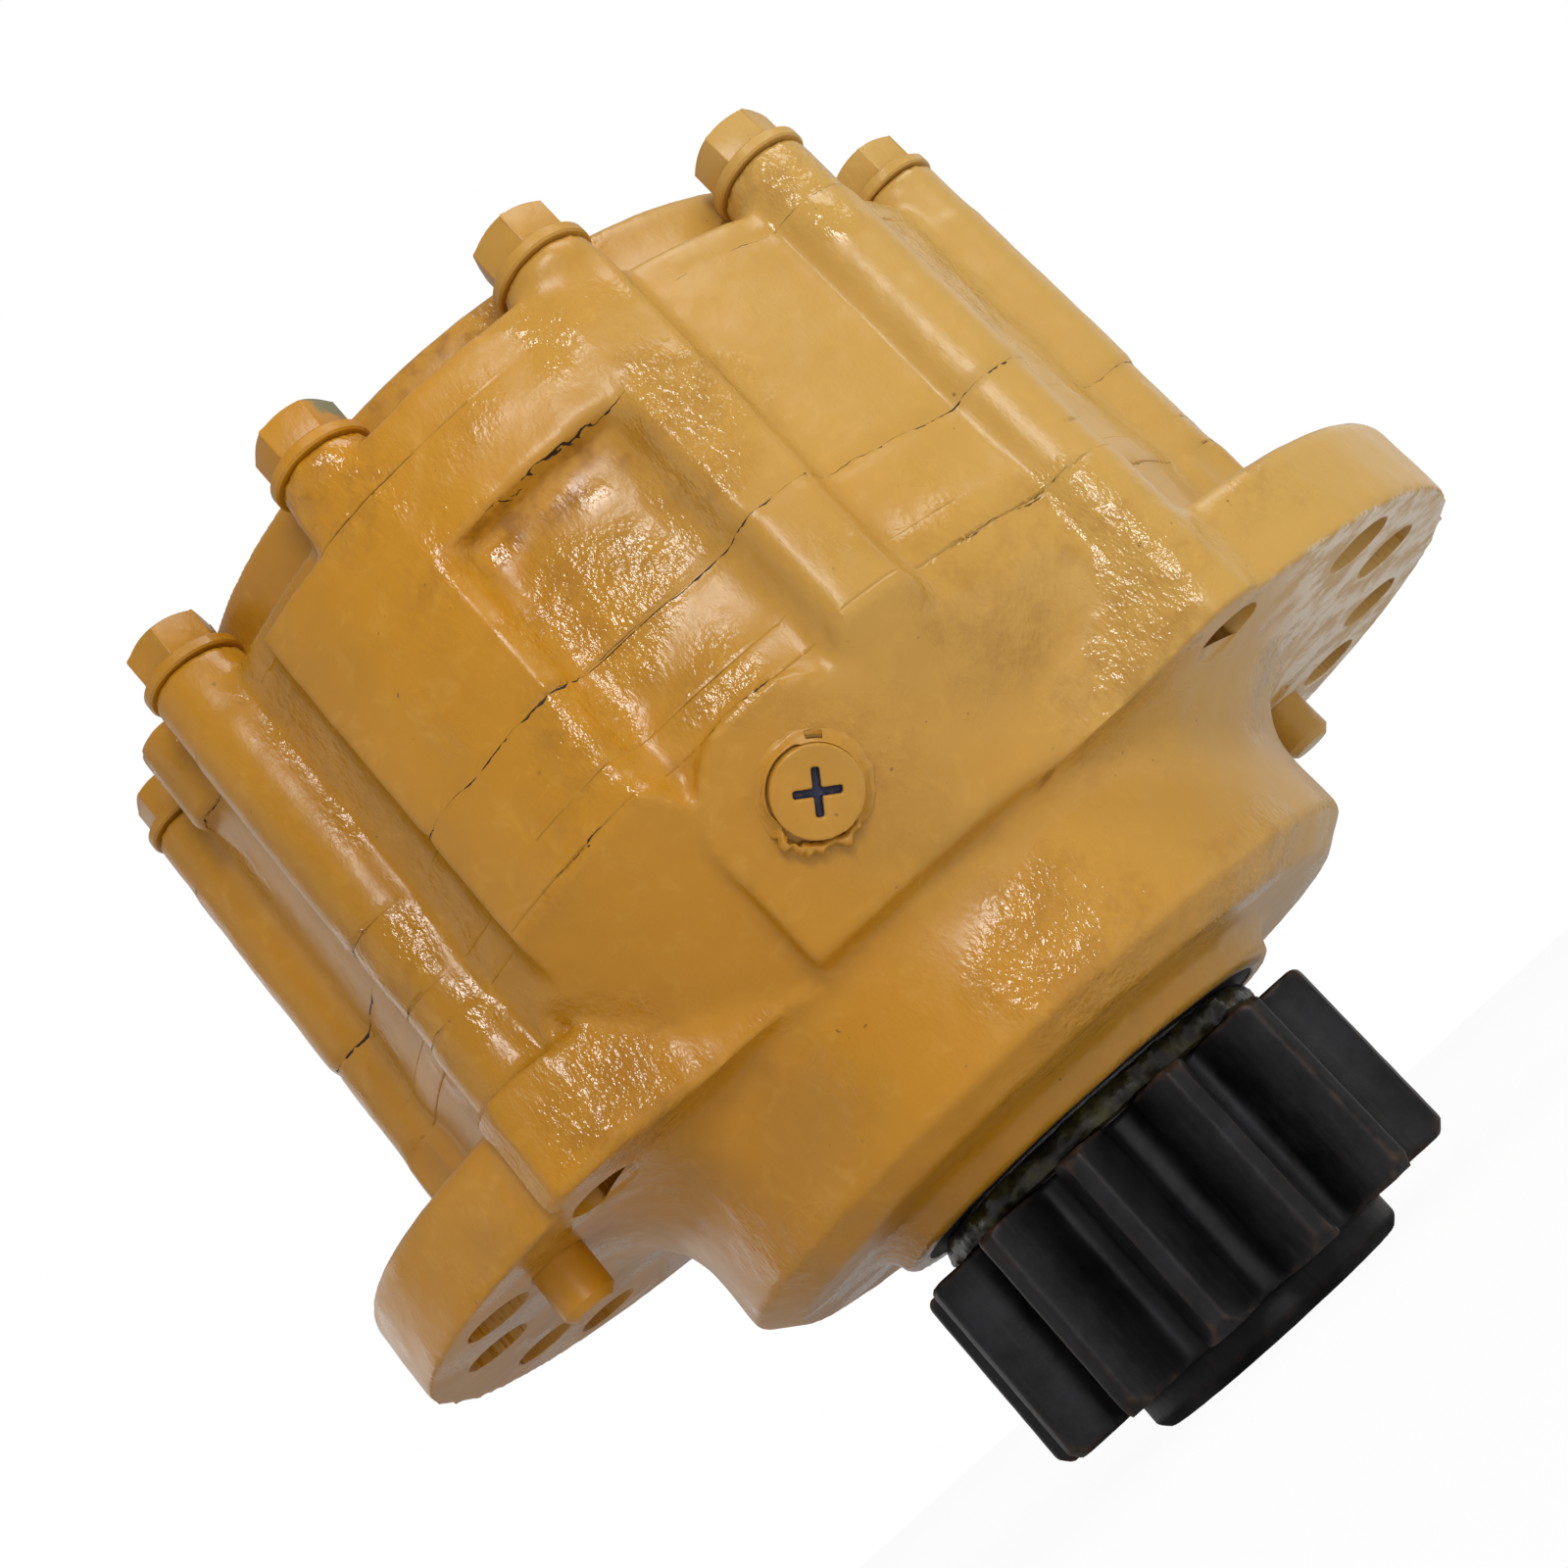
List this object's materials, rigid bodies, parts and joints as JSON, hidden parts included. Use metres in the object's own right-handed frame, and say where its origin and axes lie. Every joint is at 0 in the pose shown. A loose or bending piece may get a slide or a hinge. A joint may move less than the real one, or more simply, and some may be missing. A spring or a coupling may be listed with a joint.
{
  "type": "swing reduction gearbox",
  "caption": "Planetary swing gearbox with a two-eared mounting flange, pilot nose and output pinion; a hydraulic motor bolts to its top face.",
  "frame": {"origin": "on the gear axis at the underside of the mounting flange", "axes": "+Z along the gear axis towards the motor, +X through the flange ears, -Y towards the oil port"},
  "size_m": [0.418, 0.3317, 0.3534],
  "materials": {
    "flange_housing": "thick glossy yellow-ochre enamel over rough casting",
    "retainer_plate": "glossy yellow-ochre enamel over casting",
    "spacer_housing": "glossy yellow-ochre enamel over casting",
    "ring_gear_housing": "glossy yellow-ochre enamel outside, bare oiled teeth inside",
    "top_cover": "glossy yellow-ochre enamel over casting, machined face",
    "body_bolts": "painted over with the housing",
    "bolt_washers": "painted over with the housing",
    "body_orings": "black nitrile rubber",
    "locating_dowels": "painted over",
    "oil_plug": "painted over, with torn paint round it",
    "oil_plug_washer": "machined bronze, oiled",
    "shaft_seal": "black nitrile rubber",
    "dust_seal": "black nitrile rubber",
    "low_outer_ring": "ground bearing steel, oiled",
    "up_outer_ring": "ground bearing steel, oiled",
    "pinion_shaft": "oiled black hardened steel",
    "seal_sleeve": "ground bearing steel, oiled",
    "low_inner_ring": "ground bearing steel, oiled",
    "bearing_spacer": "ground bearing steel, oiled",
    "up_inner_ring": "ground bearing steel, oiled",
    "bearing_nut": "ground bearing steel, oiled",
    "carrier_b": "dark phosphated forging",
    "pins_b": "ground bearing steel, oiled",
    "thrust_b": "machined bronze, oiled",
    "end_plate": "ground bearing steel, oiled",
    "end_screws": "black oxide",
    "low_rollers_cage": "machined bronze, oiled",
    "up_rollers_cage": "machined bronze, oiled",
    "planet_b1": "ground bearing steel, oiled",
    "needles_b1": "ground bearing steel, oiled",
    "planet_b2": "ground bearing steel, oiled",
    "needles_b2": "ground bearing steel, oiled",
    "planet_b3": "ground bearing steel, oiled",
    "needles_b3": "ground bearing steel, oiled",
    "sun_b": "oiled ground gear steel",
    "carrier_a": "dark phosphated forging",
    "pins_a": "ground bearing steel, oiled",
    "thrust_a": "machined bronze, oiled",
    "circlips_a": "ground bearing steel, oiled",
    "thrust_button": "machined bronze, oiled",
    "planet_a1": "ground bearing steel, oiled",
    "needles_a1": "ground bearing steel, oiled",
    "planet_a2": "ground bearing steel, oiled",
    "needles_a2": "ground bearing steel, oiled",
    "planet_a3": "ground bearing steel, oiled",
    "needles_a3": "ground bearing steel, oiled",
    "sun_a": "oiled ground gear steel"
  },
  "bodies": {
    "housing": {"flange_housing": "flange_housing", "retainer_plate": "retainer_plate", "spacer_housing": "spacer_housing", "ring_gear_housing": "ring_gear_housing", "top_cover": "top_cover", "body_bolts": "body_bolts", "bolt_washers": "bolt_washers", "body_orings": "body_orings", "locating_dowels": "locating_dowels", "oil_plug": "oil_plug", "oil_plug_washer": "oil_plug_washer", "shaft_seal": "shaft_seal", "dust_seal": "dust_seal", "low_outer_ring": "low_outer_ring", "up_outer_ring": "up_outer_ring"},
    "output_shaft": {"pinion_shaft": "pinion_shaft", "seal_sleeve": "seal_sleeve", "low_inner_ring": "low_inner_ring", "bearing_spacer": "bearing_spacer", "up_inner_ring": "up_inner_ring", "bearing_nut": "bearing_nut", "carrier_b": "carrier_b", "pins_b": "pins_b", "thrust_b": "thrust_b", "end_plate": "end_plate", "end_screws": "end_screws"},
    "low_rollers": {"low_rollers_cage": "low_rollers_cage"},
    "up_rollers": {"up_rollers_cage": "up_rollers_cage"},
    "planet_b1": {"planet_b1": "planet_b1", "needles_b1": "needles_b1"},
    "planet_b2": {"planet_b2": "planet_b2", "needles_b2": "needles_b2"},
    "planet_b3": {"planet_b3": "planet_b3", "needles_b3": "needles_b3"},
    "fast_carrier": {"sun_b": "sun_b", "carrier_a": "carrier_a", "pins_a": "pins_a", "thrust_a": "thrust_a", "circlips_a": "circlips_a", "thrust_button": "thrust_button"},
    "planet_a1": {"planet_a1": "planet_a1", "needles_a1": "needles_a1"},
    "planet_a2": {"planet_a2": "planet_a2", "needles_a2": "needles_a2"},
    "planet_a3": {"planet_a3": "planet_a3", "needles_a3": "needles_a3"},
    "input_sun": {"sun_a": "sun_a"}
  },
  "joints": [
    {"name": "output_spin", "type": "hinge", "parent": "housing", "child": "output_shaft", "pos_m": [0, 0, 0], "axis": [0, 0, 1], "continuous": true},
    {"name": "fast_carrier_spin", "type": "hinge", "parent": "housing", "child": "fast_carrier", "pos_m": [0, 0, 0], "axis": [0, 0, 1], "continuous": true},
    {"name": "input_spin", "type": "hinge", "parent": "housing", "child": "input_sun", "pos_m": [0, 0, 0], "axis": [0, 0, 1], "continuous": true},
    {"name": "low_rollers_spin", "type": "hinge", "parent": "housing", "child": "low_rollers", "pos_m": [0, 0, 0], "axis": [0, 0, 1], "continuous": true},
    {"name": "up_rollers_spin", "type": "hinge", "parent": "housing", "child": "up_rollers", "pos_m": [0, 0, 0], "axis": [0, 0, 1], "continuous": true},
    {"name": "planet_b1_spin", "type": "hinge", "parent": "output_shaft", "child": "planet_b1", "pos_m": [0.04124, 0.08, 0], "axis": [0, 0, 1], "continuous": true},
    {"name": "planet_a1_spin", "type": "hinge", "parent": "fast_carrier", "child": "planet_a1", "pos_m": [0.084, 0, 0], "axis": [0, 0, 1], "continuous": true},
    {"name": "planet_b2_spin", "type": "hinge", "parent": "output_shaft", "child": "planet_b2", "pos_m": [-0.0899, -0.00428, 0], "axis": [0, 0, 1], "continuous": true},
    {"name": "planet_a2_spin", "type": "hinge", "parent": "fast_carrier", "child": "planet_a2", "pos_m": [-0.042, 0.07275, 0], "axis": [0, 0, 1], "continuous": true},
    {"name": "planet_b3_spin", "type": "hinge", "parent": "output_shaft", "child": "planet_b3", "pos_m": [0.04866, -0.07571, 0], "axis": [0, 0, 1], "continuous": true},
    {"name": "planet_a3_spin", "type": "hinge", "parent": "fast_carrier", "child": "planet_a3", "pos_m": [-0.042, -0.07275, 0], "axis": [0, 0, 1], "continuous": true}
  ],
  "couplings": [
    {"joint": "fast_carrier_spin", "follows": "output_spin", "ratio": 3.75},
    {"joint": "input_spin", "follows": "output_spin", "ratio": 17.5},
    {"joint": "low_rollers_spin", "follows": "output_spin", "ratio": 0.45385},
    {"joint": "up_rollers_spin", "follows": "output_spin", "ratio": 0.416},
    {"joint": "planet_b1_spin", "follows": "output_spin", "ratio": -3.1429},
    {"joint": "planet_a1_spin", "follows": "output_spin", "ratio": -10.312},
    {"joint": "planet_b2_spin", "follows": "output_spin", "ratio": -3.1429},
    {"joint": "planet_a2_spin", "follows": "output_spin", "ratio": -10.312},
    {"joint": "planet_b3_spin", "follows": "output_spin", "ratio": -3.1429},
    {"joint": "planet_a3_spin", "follows": "output_spin", "ratio": -10.312}
  ]
}
